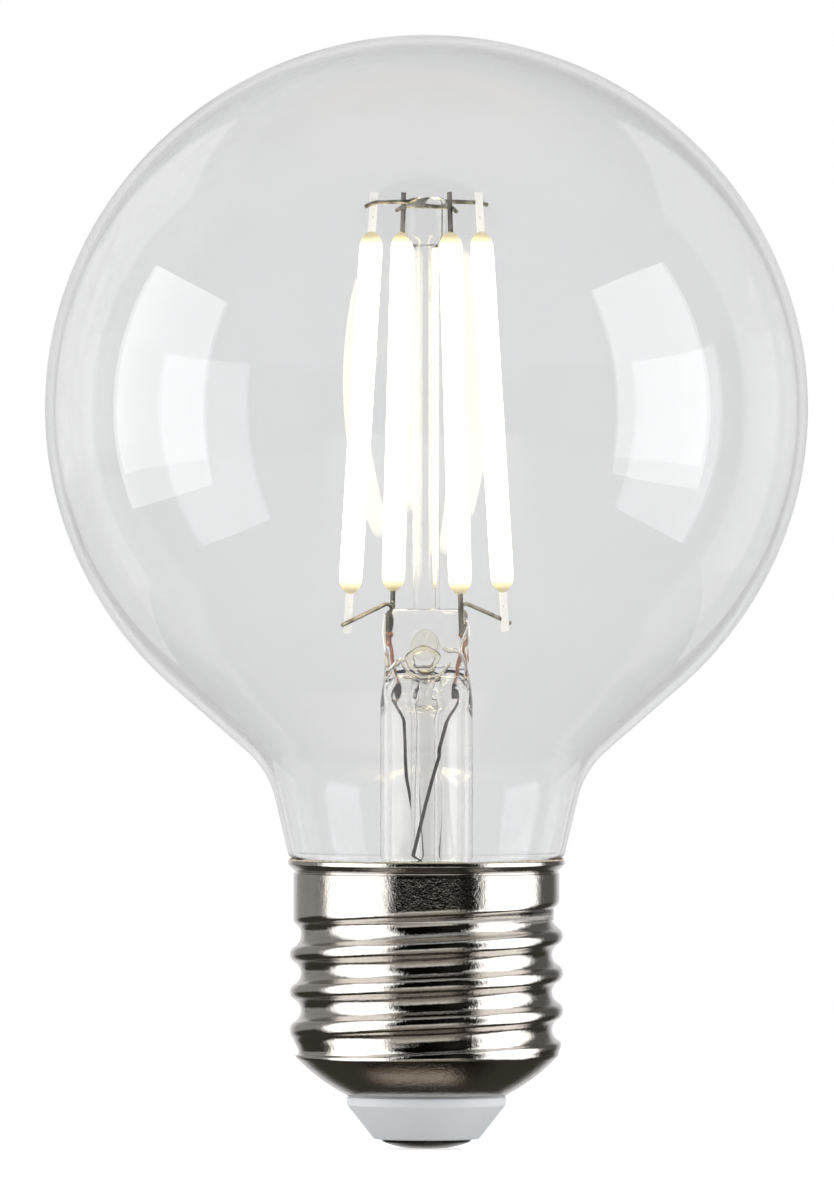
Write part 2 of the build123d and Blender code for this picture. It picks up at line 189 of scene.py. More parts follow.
def between(tree, share, first, second):
    """A colour between two colours."""
    node = tree.nodes.new("ShaderNodeMix")
    node.data_type = "RGBA"
    for slot, value in ((node.inputs[0], share), (node.inputs[6], first), (node.inputs[7], second)):
        if isinstance(value, Socket):
            tree.links.new(value.link, slot)
        else:
            slot.default_value = value if isinstance(value, float) else (*value, 1.0)
    return Socket(tree, node.outputs[2])


class Finish:
    """A material under construction: one Principled shader and the nodes that feed it."""

    def __init__(self, name, **constants):
        self.material = bpy.data.materials.new(name)
        self.material.use_nodes = True
        self.tree = self.material.node_tree
        self.tree.nodes.clear()
        self.shader = self.tree.nodes.new("ShaderNodeBsdfPrincipled")
        out = self.tree.nodes.new("ShaderNodeOutputMaterial")
        self.tree.links.new(self.shader.outputs[0], out.inputs["Surface"])
        self.feed(**constants)

    def feed(self, **values):
        for name, value in values.items():
            slot = self.shader.inputs[name.replace("_", " ")]
            if isinstance(value, Socket):
                self.tree.links.new(value.link, slot)
            elif slot.type == "RGBA":
                slot.default_value = (*value[:3], 1.0)
            else:
                slot.default_value = value
        return self

    def add(self, kind, settings=None, output=0, **values):
        sockets = {name.replace("_", " "): value for name, value in values.items()}
        return finish_node(self.tree, kind, settings or {}, sockets, output)

    def place(self, scale=(1, 1, 1)):
        """The surface point in the object's own space, scaled."""
        point = self.add("ShaderNodeTexCoord", output="Object")
        return self.add("ShaderNodeMapping", Vector=point, Scale=scale)

    def height(self):
        """Height above the contact, in metres."""
        point = self.add("ShaderNodeTexCoord", output="Object")
        return self.add("ShaderNodeSeparateXYZ", output="Z", Vector=point)

    def noise(self, scale, detail=3.0, stretch=(1, 1, 1), roughness=0.5):
        return self.add("ShaderNodeTexNoise", output="Fac", Vector=self.place(stretch),
                        Scale=scale, Detail=detail, Roughness=roughness)

    def mix(self, share, first, second):
        return between(self.tree, share, first, second)

    def bump(self, height, distance, strength=1.0):
        sockets = {"Height": height, "Distance": distance, "Strength": strength}
        return self.feed(Normal=self.add("ShaderNodeBump", output="Normal", **sockets))


# Mesh helpers

def smooth(t):
    """0 below 0, 1 above 1, with soft ends."""
    t = min(1.0, max(0.0, t))
    return t * t * (3 - 2 * t)


def make_piece(name, vertices, faces, material, node=None):
    """Adds a smooth mesh, given in mm, and rides it on the bulb; node is the CAD node it stands for."""
    mesh = bpy.data.meshes.new(name)
    mesh.from_pydata([tuple(c * mm for c in v) for v in vertices], [], faces)
    mesh.polygons.foreach_set("use_smooth", [True] * len(mesh.polygons))
    mesh.materials.append(material)
    piece = bpy.data.objects.new(name, mesh)
    bpy.context.scene.collection.objects.link(piece)
    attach(piece, "root")
    if node:
        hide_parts(node)
    return piece


def heights(start, end, step):
    """Heights from start to just before end."""
    out = []
    while (end - start) * step > 0:
        out.append(start)
        start += step
    return out


def circle(r, z, steps):
    """The points of a level ring."""
    return [(r * cos(2 * pi * i / steps), r * sin(2 * pi * i / steps), z) for i in range(steps)]


def flipped(faces):
    """The same faces, seen from the other side."""
    return [face[::-1] for face in faces]


def rings(rows, closed=False, capped=False):
    """A stack of equal rings; closed joins the last ring to the first, capped gives both a cap."""
    around = len(rows[0])
    vertices = [point for row in rows for point in row]
    faces = []
    for k in range(len(rows) if closed else len(rows) - 1):
        a, b = k * around, (k + 1) % len(rows) * around
        for i in range(around):
            j = (i + 1) % around
            faces.append((a + i, a + j, b + j, b + i))
    if capped:
        for row in (0, len(rows) - 1):
            vertices.append([sum(c) / around for c in zip(*rows[row])])
            faces += fan(row * around, around, len(vertices) - 1, row == 0)
    return vertices, faces


def fan(first, count, centre, flip):
    """Triangles from a ring, whose first point is numbered first, to a centre point."""
    pairs = [(first + i, first + (i + 1) % count) for i in range(count)]
    return [(*(pair[::-1] if flip else pair), centre) for pair in pairs]


def lathe(outline, steps):
    """Rings from an outline of (radius, height); an outline that ends on the axis is capped there."""
    starts, stops = (r < 1e-6 for r, _ in (outline[0], outline[-1]))
    body = outline[starts: len(outline) - stops]
    vertices, faces = rings([circle(r, z, steps) for r, z in body])
    for on_axis, end, row in ((starts, outline[0], 0), (stops, outline[-1], len(body) - 1)):
        if on_axis:
            vertices.append((0, 0, end[1]))
            faces += fan(row * steps, steps, len(vertices) - 1, row == 0)
    return vertices, faces


def rounded(corners, radii, step, arc_steps):
    """A polyline of (radius, height) with its corners rounded and its runs divided."""
    points = [Vector(corners[0])]
    for k in range(1, len(corners) - 1):
        before, here, after = (Vector(corners[i]) for i in (k - 1, k, k + 1))
        u, v = (before - here).normalized(), (after - here).normalized()
        half = u.angle(v) / 2
        nearly_straight = half > pi / 2 - 0.01
        if nearly_straight:
            points.append(here)
            continue
        back = radii[k - 1] * cos(half) / sin(half)
        centre = here + (u + v).normalized() * (radii[k - 1] / sin(half))
        start, end = here + u * back - centre, here + v * back - centre
        turn = start.angle(end)
        for i in range(arc_steps + 1):
            t = i / arc_steps
            points.append(centre + (sin((1 - t) * turn) * start + sin(t * turn) * end) / sin(turn))
    points.append(Vector(corners[-1]))
    out = [points[0]]
    for a, b in zip(points, points[1:]):
        count = max(1, ceil((b - a).length / step))
        out += [a.lerp(b, i / count) for i in range(1, count + 1)]
    return [tuple(p) for p in out]


# Finishes

def chosen():
    """The colours set in the panel."""
    return bpy.context.scene.bulb_finishes


def plated_nickel():
    """Bright plate over rolled sheet: faintly mottled, with duller and warmer patches."""
    f = Finish("plated_nickel", Metallic=1.0, IOR=1.6)
    mottle = f.noise(1500.0, 5.0, (1, 1, 0.8), 0.68)
    speckle = f.noise(4200.0, 3.0, (1, 1, 1), 0.7)
    stain = f.noise(150.0, 4.0, (1, 1, 1), 0.6).ramp(0.45, 0.75)
    f.feed(Base_Color=f.mix(stain * 0.5, chosen().nickel, (0.42, 0.385, 0.34)))
    f.feed(Roughness=0.02 + stain * 0.03 + mottle.ramp(0.4, 0.8) * 0.03)
    f.bump(mottle * 0.6 + speckle * 0.4, 0.00005, 0.75)
    return f.material


def contact_metal():
    """Worn metal with uneven tarnish."""
    f = Finish("contact_metal", Metallic=1.0)
    wear = f.noise(700.0, 4.0)
    f.feed(Base_Color=f.mix(wear.ramp(0.4, 0.7), (0.2, 0.19, 0.18), (0.38, 0.37, 0.36)))
    f.feed(Roughness=0.16 + wear * 0.2)
    f.bump(wear, 0.00003, 0.5)
    return f.material


def insulator_plastic():
    """Moulded plastic, faintly bluish, with a slightly lighter band at the top."""
    f = Finish("insulator_plastic", IOR=1.5, Subsurface_Weight=0.15,
               Subsurface_Radius=(0.002, 0.002, 0.002), Subsurface_Scale=0.5)
    grain = f.noise(1500.0, 3.0)
    band = f.height().ramp(0.00405, 0.0043)
    dark = tuple(c * 0.93 for c in chosen().plastic)
    f.feed(Base_Color=f.mix((band * 0.7 + grain * 0.3), dark, chosen().plastic))
    f.feed(Roughness=0.32 + grain * 0.12)
    f.bump(grain, 0.00001, 0.35)
    return f.material


def clear_glass(name, tint, worked_and_rim_shade=0.0):
    """Clear glass with its rim slightly darkened by painted shade where the surface is seen edge-on; the last
    argument adds the unevenness of worked glass and also strengthens that painted shade.
    """
    f = Finish(name, Roughness=0.0, IOR=1.5, Transmission_Weight=1.0)
    flow = f.noise(60.0 + 340.0 * worked_and_rim_shade, 2.0, (1, 1, 0.5))
    facing = f.add("ShaderNodeLayerWeight", output="Facing", Blend=0.5)
    # Painted shade: the colour darkens towards the rim, where the glass is seen edge-on.
    rim = (facing ** (6.0 - 2.5 * worked_and_rim_shade)) * (0.06 + 1.1 * worked_and_rim_shade)
    paler = tuple(min(1.0, c * 1.012) for c in tint)
    f.feed(Base_Color=f.mix(rim, f.mix(flow, tint, paler), (0.17, 0.17, 0.14)))
    f.bump(flow, 0.00006 + 0.00008 * worked_and_rim_shade, 0.25 + 0.5 * worked_and_rim_shade)
    return f.material


def capping_cement():
    """Gritty baked cement."""
    f = Finish("capping_cement")
    grit = f.noise(2600.0, 4.0)
    f.feed(Base_Color=f.mix(grit.ramp(0.3, 0.7), (0.55, 0.45, 0.32), (0.82, 0.74, 0.6)))
    f.feed(Roughness=0.75 + grit * 0.2)
    f.bump(grit, 0.00008, 0.8)
    return f.material


def phosphor_silicone(middle, half):
    """Lit coat: white along its length, unlit and yellow over its last millimetres."""
    f = Finish("phosphor_silicone", Roughness=0.35, IOR=1.42)
    height = f.height()
    end = (abs(height - middle * mm)).ramp((half - 3.4) * mm, (half - 0.2) * mm)
    grain = f.noise(3200.0, 2.0)
    warm = f.mix(end, chosen().phosphor, (0.95, 0.86, 0.5))
    f.feed(Base_Color=f.mix(grain, (0.95, 0.88, 0.6), (0.98, 0.92, 0.68)))
    f.feed(Emission_Color=f.mix(end, warm, (0.035, 0.026, 0.01)))
    f.feed(Emission_Strength=chosen().glow)
    f.bump(grain, 0.00002, 0.4)
    return f.material


def lit_core():
    """The lit strip and chips inside a coat."""
    f = Finish("lit_core", Roughness=0.5, Emission_Strength=9.0)
    grain = f.noise(2500.0, 2.0)
    f.feed(Base_Color=f.mix(grain, (0.9, 0.9, 0.8), (1.0, 1.0, 0.9)))
    f.feed(Emission_Color=f.mix(grain, (1.0, 0.95, 0.8), (1.0, 0.98, 0.9)))
    return f.material


def drawn_wire(name, light, dark):
    """Drawn metal wire, streaked along its length and stained by the sealing flame."""
    f = Finish(name, Metallic=1.0)
    stain = f.noise(900.0, 3.0, (1, 1, 0.5))
    f.feed(Base_Color=f.mix(stain.ramp(0.35, 0.65), dark, light))
    f.feed(Roughness=0.2 + stain * 0.3)
    f.bump(stain, 0.00002, 0.5)
    return f.material


def tab_metal():
    """Brushed tab with a painted glow that stands in for its filament's light falling on it."""
    # Painted glow: the tab emits light though it is no lamp.
    f = Finish("tab_metal", Metallic=0.3, Emission_Strength=0.5)
    brush = f.noise(1800.0, 3.0, (1, 1, 0.2))
    f.feed(Base_Color=f.mix(brush, (0.86, 0.85, 0.82), (0.95, 0.94, 0.92)))
    f.feed(Emission_Color=f.mix(brush, (0.85, 0.83, 0.78), (1.0, 0.98, 0.95)))
    f.feed(Roughness=0.3 + brush * 0.2)
    f.bump(brush, 0.00001, 0.4)
    return f.material


def plain_finish(name, light, dark, rough, metal=0.0, scale=1200.0):
    """A finish for the pieces inside the cap: two close tones and a fine grain."""
    f = Finish(name, Metallic=metal)
    grain = f.noise(scale, 3.0)
    f.feed(Base_Color=f.mix(grain.ramp(0.35, 0.65), dark, light))
    f.feed(Roughness=rough + (grain - 0.5) * 0.15)
    f.bump(grain, 0.00002, 0.5)
    return f.material


def dress(material, *nodes):
    """Gives CAD nodes that stay in the scene a finish."""
    for name in nodes:
        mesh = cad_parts[name].data
        mesh.materials.clear()
        mesh.materials.append(material)


# The cap, with heights and radii in millimetres

ROOT_HEIGHT = 22.40
VALLEY_SHARE, CREST_SHARE = 0.6, 0.4
COLLAR_FOOT, COLLAR_FADE = 22.6, 2.2
BASE_TOP, BASE_FADE, BASE_TUCK = 10.5, 1.5, 0.4
LOWER_END, LOWER_FADE = 3.85, 0.75
UPPER_END, UPPER_FADE = 0.34, 0.5
INSIDE_SLACK = 0.06
OUTSIDE_ROWS, INSIDE_ROWS, DOME_ROWS = (9.12, 25.5, 0.085), (24.6, 9.6, -0.45), 15
DOME_CURVE = ((7.5, 5.0), (10.7, 6.62), (12.8, 9.0))
DOME_INSIDE = ((12.45, 9.3), (11.4, 8.0), (10.4, 7.16), (9.0, 6.25), (7.5, 5.3))
LIP = [(12.86, 25.6), (12.86, 26.6), (12.7, 26.74), (12.71, 26.84), (13.38, 27.5), (13.38, 27.92),
       (12.92, 27.92), (12.92, 27.62), (12.42, 27.0), (12.42, 25.0)]
LIP_ROUNDING = [0.07, 0.05, 0.1, 0.1, 0.13, 0.12, 0.15, 0.15]
BEAD = ((12.8, 27.86), (13.02, 28.0), (13.14, 28.04), (13.24, 28.01),
        (13.3, 27.93), (13.26, 27.88), (13.0, 27.86))
BEAD_TOP = 27.9


def thread_form(depth, pitch):
    """How deep a rolled thread is at a distance from its root: a valley arc that meets a crest arc."""
    steepest = 2 * atan2(depth, pitch / 2)
    both = pitch / 2 / sin(steepest)
    valley, crest = both * VALLEY_SHARE, both * CREST_SHARE

    def groove_depth(u):
        u = abs(u)
        if u <= valley * sin(steepest):
            return depth - (valley - sqrt(valley * valley - u * u))
        u = max(0.0, pitch / 2 - u)
        return crest - sqrt(crest * crest - u * u)

    return groove_depth


class BULB_OT_cap(bpy.types.Operator):
    """Rolls the screw cap with its rounded thread, collar and lip"""

    bl_idname = "bulb.cap"
    bl_label = "Screw cap"

    def execute(self, context):
        s = context.scene.bulb_cap
        steps, pitch = s.steps_round, s.thread_pitch
        groove_depth = thread_form(s.thread_depth, pitch)

        def radius(turn, z):
            """The outside between dome and collar; the thread fades out at its ends, given in turns."""
            swell = s.crest_radius - s.collar_radius
            base = s.collar_radius + swell * smooth((COLLAR_FOOT - z) / COLLAR_FADE)
            base -= BASE_TUCK * smooth((BASE_TOP - z) / BASE_FADE)
            t = turn / (2 * pi)
            along = t + round((z - ROOT_HEIGHT) / pitch - t)
            groove = groove_depth(z - ROOT_HEIGHT - pitch * along)
            groove *= smooth((along + LOWER_END) / LOWER_FADE)
            return base - groove * smooth((UPPER_END - along) / UPPER_FADE)

        def threaded(z, sheet=0.0, slack=0.0):
            row = []
            for i in range(steps):
                a = 2 * pi * i / steps
                r = radius(a, z) - sheet - slack
                row.append((r * cos(a), r * sin(a), z))
            return row

        rows = []
        low, bend, high = (Vector(p) for p in DOME_CURVE)
        for i in range(DOME_ROWS):
            p = i / (DOME_ROWS - 1)
            rows.append(circle(*(low * (1 - p) ** 2 + bend * 2 * p * (1 - p) + high * p * p), steps))
        rows += [threaded(z) for z in heights(*OUTSIDE_ROWS)]
        rows += [circle(r, z, steps) for r, z in rounded(LIP, LIP_ROUNDING, 0.25, 6)]
        rows += [threaded(z, s.sheet, INSIDE_SLACK) for z in heights(*INSIDE_ROWS)]
        rows += [circle(r, z, steps) for r, z in DOME_INSIDE]
        vertices, faces = rings(rows, closed=True)
        piece = make_piece("rolled_cap", vertices, faces, plated_nickel(), "screw_shell")
        dress(insulator_plastic(), "cap_insulator")
        dress(contact_metal(), "centre_contact")

        cement = capping_cement()
        dress(cement, "capping_cement")
        rows = [circle(r, z, steps) for r, z in BEAD]
        for row in rows:
            for i, (x, y, z) in enumerate(row):
                a = 2 * pi * i / steps
                lumps = 0.03 * sin(7 * a + 0.4) + 0.025 * sin(17 * a + 1.1) + 0.02 * sin(41 * a)
                row[i] = (x, y, z + lumps * (z > BEAD_TOP))
        vertices, faces = rings(rows, closed=True)
        bead = make_piece("cement_bead", vertices, faces, cement)
        return {"FINISHED"}


# Glass, with heights and radii in millimetres

CROWN_END = radians(-48.4)
CROWN_POINTS = 96
SHOULDER, COLLAR_SEAT, THROAT = 15.3, (13.35, 28.4), (12.3, 27.3)
SEAL_FOOT = 22.1


def globe_outline(s, inset):
    """From the crown's pole down to the seal, as (radius, height)."""
    width, height = s.globe_radius - inset, s.globe_half_height - inset
    crown = [(0.0, s.globe_centre + height * sin(radians(90)))]
    for k in range(1, CROWN_POINTS):
        a = radians(90) + (CROWN_END - radians(90)) * k / (CROWN_POINTS - 1)
        crown.append((max(0.0, width * cos(a)), s.globe_centre + height * sin(a)))
    x, z = crown[-1]
    slope = height * cos(CROWN_END) / (-width * sin(CROWN_END))
    corner = SHOULDER - 0.9 * inset
    drop = 0.4 * inset
    neck = [(x, z), (corner, z - slope * (x - corner)), (COLLAR_SEAT[0] - inset, COLLAR_SEAT[1] - drop),
            (THROAT[0] - inset, THROAT[1] - drop), (THROAT[0] - inset, SEAL_FOOT)]
    return crown + rounded(neck, [8.5 + inset, 0.9, 0.8], 0.6, 14)[1:]


class BULB_OT_globe(bpy.types.Operator):
    """Blows the clear globe and its neck"""

    bl_idname = "bulb.globe"
    bl_label = "Glass globe"

    def execute(self, context):
        s = context.scene.bulb_glass
        outline = globe_outline(s, 0.0) + globe_outline(s, s.wall)[::-1]
        vertices, faces = lathe(outline, s.steps_round)
        glass = clear_glass("blown_glass", chosen().glass)
        piece = make_piece("blown_globe", vertices, flipped(faces), glass, "glass_globe")
        return {"FINISHED"}


# The stem, with all sizes in millimetres

TUBE, BORE = 4.5, 3.7
STEM_STEPS, ROUND_STEPS = 96, 48
PRESS, PRESS_FOOT, PRESS_BLEND, PRESS_TOP = (4.0, 1.8), 43.0, 4.0, 52.2
CAVITY, CAVITY_FOOT, CAVITY_BLEND, CAVITY_TOP = (3.25, 1.1), 41.6, 3.8, 44.4
EDGE = 0.7
HOLE_X, HOLE_Y, HOLE_Z = -0.3, -2.2, 47.4
DOME_X, DOME_Y, DOME_Z = -0.1, -1.85, 48.7
EXHAUST, EXHAUST_BORE, EXHAUST_TOP, EXHAUST_TIP = 1.5, 0.8, 45.2, 21.0
FLARE = [(TUBE, 28.0), (TUBE, 24.0), (11.5, 22.9), (11.5, 22.1), (BORE, 23.2), (BORE, 27.4)]
ROD = [(0.0, 92.0), (1.95, 92.0), (1.95, 88.2), (1.3, 87.3), (1.3, PRESS_TOP), (0.0, PRESS_TOP)]
MENISCUS = ((-2.5, -1.7, 47.2), (-1.6, -2.0, 45.9), (-0.2, -2.1, 45.35), (1.3, -2.0, 45.8),
            (2.3, -1.7, 47.0))
SHOULDER_LEFT = ((-3.7, -1.6, 46.2), (-3.1, -1.8, 46.7), (-2.5, -1.95, 47.3), (-1.9, -2.0, 47.2))
SHOULDER_RIGHT = ((1.5, -2.0, 48.5), (2.1, -1.95, 48.2), (2.8, -1.8, 48.2), (3.5, -1.5, 47.7))
# A painted shadow: the dark crescent of glass just below the blown hole's ring.
SHADOW_CRESCENT = ((-0.95, -2.45, 46.35), (-0.4, -2.55, 46.05), (0.3, -2.55, 46.05), (0.85, -2.45, 46.4))
SEAL_LEFT = ((-3.9, -0.3, 51.8), (-4.0, -0.5, 49.9), (-3.8, -0.6, 48.2), (-3.5, -0.7, 46.2),
             (-3.6, -0.7, 44.6))
SEAL_RIGHT = ((3.3, -0.3, 52.3), (3.9, -0.5, 50.4), (3.5, -0.6, 48.3), (3.7, -0.7, 46.4),
              (3.4, -0.7, 44.4))


def stem_half_widths(z):
    """Half width, half depth and squareness of the stem's outside at a height."""
    t = smooth((z - PRESS_FOOT) / PRESS_BLEND)
    return TUBE + (PRESS[0] - TUBE) * t, TUBE + (PRESS[1] - TUBE) * t, 2.0 + 3.0 * t


def cavity_half_widths(z):
    """The same for the hollow inside."""
    t = smooth((z - CAVITY_FOOT) / CAVITY_BLEND)
    return BORE + (CAVITY[0] - BORE) * t, BORE + (CAVITY[1] - BORE) * t, 2.0 + 1.6 * t


def superellipse(a, b, n, turn):
    """Distance from the centre to a superellipse."""
    c, s = abs(cos(turn)), abs(sin(turn))
    return ((c / a) ** n + (s / b) ** n) ** (-1.0 / n)


def stem_ring(a, b, n, z, worn=0.0):
    """A level ring of the stem; worn glass wavers and is drawn in round the blown hole."""
    row = []
    for i in range(STEM_STEPS):
        t = 2 * pi * i / STEM_STEPS
        r = superellipse(a, b, n, t)
        wobble = 1 + worn * (0.5 * sin(3 * t + 1.7 * z) + 0.5 * sin(5 * t - 1.1 * z))
        x, y = r * cos(t) * wobble, r * sin(t) * wobble
        if y < 0 and worn:
            y -= exp(-(hypot(x - HOLE_X, z - HOLE_Z) / 2.4) ** 4) * 0.35
        if worn:
            y += 0.06 * sin(3.1 * x + 0.9) * sin(2.3 * z + 0.4) + 0.03 * sin(6.7 * x - 1.3 * z)
        row.append((x, y, z))
    return row


def stem_rows():
    """Down the outside from the press's top to the flare, then up the inside to the hollow's end."""
    rows = []
    a, b, n = stem_half_widths(PRESS_TOP)
    for k in range(8):
        turn = k / 7 * pi / 2
        inward = EDGE * (1 - sin(turn))
        wide, deep = (a - inward, b - inward) if k else (0.3, 0.15)
        rows.append(stem_ring(wide, deep, n, PRESS_TOP - EDGE * (1 - cos(turn))))
    press = heights(51.3, 42.9, -0.16)
    for z in press:
        worn = 0.02 * smooth((z - 43.5) / 3) * smooth((51.5 - z) / 1.0)
        rows.append(stem_ring(*stem_half_widths(z), z, worn))
    rows += [stem_ring(TUBE, TUBE, 2.0, z) for z in heights(press[-1] - 0.16, 28.0, -1.2)]
    rows += [circle(r, z, STEM_STEPS) for r, z in rounded(FLARE, [2.6, 0.1, 0.1, 3.0], 0.5, 10)]
    rows += [stem_ring(BORE, BORE, 2.0, z) for z in heights(28.6, 41.4, 1.2)]
    rows += [stem_ring(*cavity_half_widths(z), z) for z in heights(41.5, 44.3, 0.2)]
    a, b, n = cavity_half_widths(CAVITY_TOP)
    for k in range(1, 9):
        c = k / 8 * pi / 2
        row = stem_ring(max(0.08, a * cos(c)), max(0.08, b * cos(c)), n, CAVITY_TOP + EDGE * sin(c))
        rows.append([(x, y, z + 1.5 * min(1.0, abs(x) / 3.2) ** 2 * sin(c)) for x, y, z in row])
    return rows


def hole_rows():
    """The uneven ring of glass round the blown hole."""
    rows = []
    around, across = 48, 14
    for i in range(around):
        a = 2 * pi * i / around
        wide = 1.28 + 0.1 * sin(2 * a + 0.7) + 0.06 * sin(5 * a)
        thick = 0.34 + 0.08 * sin(a - 1.9) + 0.04 * sin(4 * a + 1)
        row = []
        for j in range(across):
            b = 2 * pi * j / across
            r = wide + thick * cos(b)
            y = HOLE_Y + 0.8 * thick * sin(b) - 0.1 * sin(a)
            row.append((HOLE_X + r * cos(a), y, HOLE_Z + 0.82 * r * sin(a)))
        rows.append(row)
    return rows


def dome_rows():
    """The shallow blown lens above the hole."""
    rows = []
    over, around = 24, 64
    for k in range(1, over):
        b = pi * k / over
        row = []
        for i in range(around):
            a = 2 * pi * i / around
            r = sin(b) * (1 + 0.03 * sin(3 * a + 2 * b))
            y = DOME_Y - 0.22 * cos(b) * abs(cos(b))
            row.append((DOME_X + 1.4 * r * cos(a), y, DOME_Z + 1.5 * r * sin(a)))
        rows.append(row)
    return rows


def melt_rows(path, thick):
    """A bead of melted glass along a smooth curve through a path, thin at its ends."""
    path = [Vector(p) for p in path]
    rows, around, count = [], 14, 28
    for k in range(count + 1):
        t = k / count * (len(path) - 1)
        i = min(len(path) - 2, int(t))
        before, after = path[max(0, i - 1)], path[min(len(path) - 1, i + 2)]
        u = t - i
        square = (2 * before - 5 * path[i] + 4 * path[i + 1] - after) * u * u
        cube = (3 * path[i] - before - 3 * path[i + 1] + after) * u ** 3
        here = 0.5 * (2 * path[i] + (path[i + 1] - before) * u + square + cube)
        taper = sin(pi * min(0.985, max(0.015, k / count))) ** 0.45
        r = thick * taper * (1 + 0.16 * sin(9 * k / count + thick * 40))
        along = (path[i + 1] - path[i]).normalized()
        side = along.cross(Vector((0, 1, 0))).normalized()
        lift = side.cross(along)
        row = []
        for j in range(around):
            a = 2 * pi * j / around
            row.append(tuple(here + (side * cos(a) + lift * 0.8 * sin(a)) * r))
        rows.append(row)
    return rows


def exhaust_mesh():
    """The exhaust tube: outside and bore with rounded lower ends, joined at the open top."""
    arc = [radians(-15 * k) for k in range(1, 6)]
    tube = [(EXHAUST, EXHAUST_TOP)] + [(EXHAUST, EXHAUST_TOP - 0.6 * k) for k in range(1, 41)]
    tube += [(EXHAUST * cos(a), EXHAUST_TIP + EXHAUST * sin(a)) for a in arc] + [(0.0, EXHAUST_TIP - EXHAUST)]
    arc = [radians(18 * k) for k in range(1, 6)]
    bore = [(0.0, 21.0)] + [(EXHAUST_BORE * sin(a), 21.8 - EXHAUST_BORE * cos(a)) for a in arc]
    bore += [(EXHAUST_BORE, 22.0 + 0.6 * k) for k in range(38)] + [(EXHAUST_BORE, EXHAUST_TOP)]
    vertices, faces = lathe(tube, ROUND_STEPS)
    inner_vertices, inner_faces = lathe(bore, ROUND_STEPS)
    shift = len(vertices)
    faces += [tuple(i + shift for i in f) for f in inner_faces]
    top = shift + ROUND_STEPS * (len(bore) - 2)
    for i in range(ROUND_STEPS):
        j = (i + 1) % ROUND_STEPS
        faces.append((i, top + i, top + j, j))
    return vertices + inner_vertices, flipped(faces)


class BULB_OT_stem(bpy.types.Operator):
    """Works the flared stem, its pinched press with the blown hole, the exhaust tube and the rod"""

    bl_idname = "bulb.stem"
    bl_label = "Glass stem"

    def execute(self, context):
        worked = clear_glass("worked_glass", (0.985, 0.985, 0.975), 0.5)
        vertices, faces = rings(stem_rows(), capped=True)
        piece = make_piece("stem_glass", vertices, flipped(faces), worked, "stem_flare")

        # A warm tint: partly a flame stain, partly a painted reflection of the filaments' warm light in the
        # melted glass.
        warm = clear_glass("stain_and_painted_glow_glass", (0.97, 0.93, 0.78), 0.5)
        ring_piece = make_piece("blown_hole_ring", *rings(hole_rows(), closed=True), warm)

        def melt(name, path, thick, finish):
            piece = make_piece(name, *rings(melt_rows(path, thick), capped=True), finish)

        melt("press_meniscus", MENISCUS, 0.26, warm)
        melt("press_shoulder_left", SHOULDER_LEFT, 0.26, warm)
        melt("press_shoulder_right", SHOULDER_RIGHT, 0.24, warm)
        # Painted shadow: a dark olive crescent beneath the ring round the blown hole.
        melt("painted_shadow_crescent", SHADOW_CRESCENT, 0.2, clear_glass("painted_shadow_glass", (0.12, 0.11, 0.04), 0.5))
        melt("seal_bead_left", SEAL_LEFT, 0.34, warm)
        melt("seal_bead_right", SEAL_RIGHT, 0.42, warm)

        # The blown lens's cream tint is a painted reflection of the filaments' warm light.
        painted_glow_tint = clear_glass("painted_glow_glass", (0.975, 0.945, 0.85))
        vertices, faces = rings(dome_rows(), capped=True)
        dome_piece = make_piece("blown_dome", vertices, flipped(faces), painted_glow_tint)

        piece = make_piece("exhaust_glass", *exhaust_mesh(), worked, "exhaust_tube")

        vertices, faces = lathe(rounded(ROD, [0.7, 0.8, 1.0, 0.02], 0.6, 8), ROUND_STEPS)
        piece = make_piece("rod_glass", vertices, flipped(faces), worked, "support_rod")
        return {"FINISHED"}


# Filaments and wires

SIDES = ("right", "back", "left", "front")
FILAMENT_MIDDLE, FILAMENT_HALF = 71.2, 17.5
STRAND_THICK, SECOND_STRAND_THICK, KNOT = 0.14, 0.11, 0.2
STRAND = ((3.3, 0, 49.95), (3.3, -0.15, 48.8), (2.95, 0.05, 46.9), (2.6, 0, 44.3))
SECOND_STRAND = ((3.3, 0, 49.9), (3.9, -0.4, 48.9), (4.0, -0.3, 47.2), (3.7, -0.2, 45.9), (3.9, -0.2, 44.9))


class BULB_OT_filaments(bpy.types.Operator):
    """Lights the four coated filaments and finishes their tabs"""

    bl_idname = "bulb.filaments"
    bl_label = "Filaments"

    def execute(self, context):
        coat, core = phosphor_silicone(FILAMENT_MIDDLE, FILAMENT_HALF), lit_core()
        # Lit and shaded copies of one metal: the left and right tabs take the painted glow, the front and
        # back tabs a dark wire finish that is painted shade.
        tab, shaded_tab = tab_metal(), drawn_wire("shaded_tab_copy", (0.3, 0.28, 0.24), (0.1, 0.09, 0.07))
        for side in SIDES:
            dress(coat, f"filament_{side}_phosphor_coat")
            dress(core, f"filament_{side}_strip", f"filament_{side}_led_chips")
            turned = tab if side in ("left", "right") else shaded_tab
            dress(turned, f"filament_{side}_top_tab", f"filament_{side}_bottom_tab")
        return {"FINISHED"}


def strand_mesh(points, thick, knot=0.0):
    """A thin wire with a slight hand-bent waver, and a weld knot at its top."""
    rows = []
    for k in range(33):
        t = k / 32 * (len(points) - 1)
        i = min(len(points) - 2, int(t))
        here = Vector(points[i]).lerp(Vector(points[i + 1]), smooth(t - i) * 0.5 + (t - i) * 0.5)
        r = thick * (1 + 0.12 * sin(2.3 * k))
        r += knot * exp(-((here.z - points[0][2] + 0.25) / 0.26) ** 2)
        rows.append([tuple(here + Vector(p) * r) for p in circle(1, 0, 12)])
    return rings(rows, capped=True)


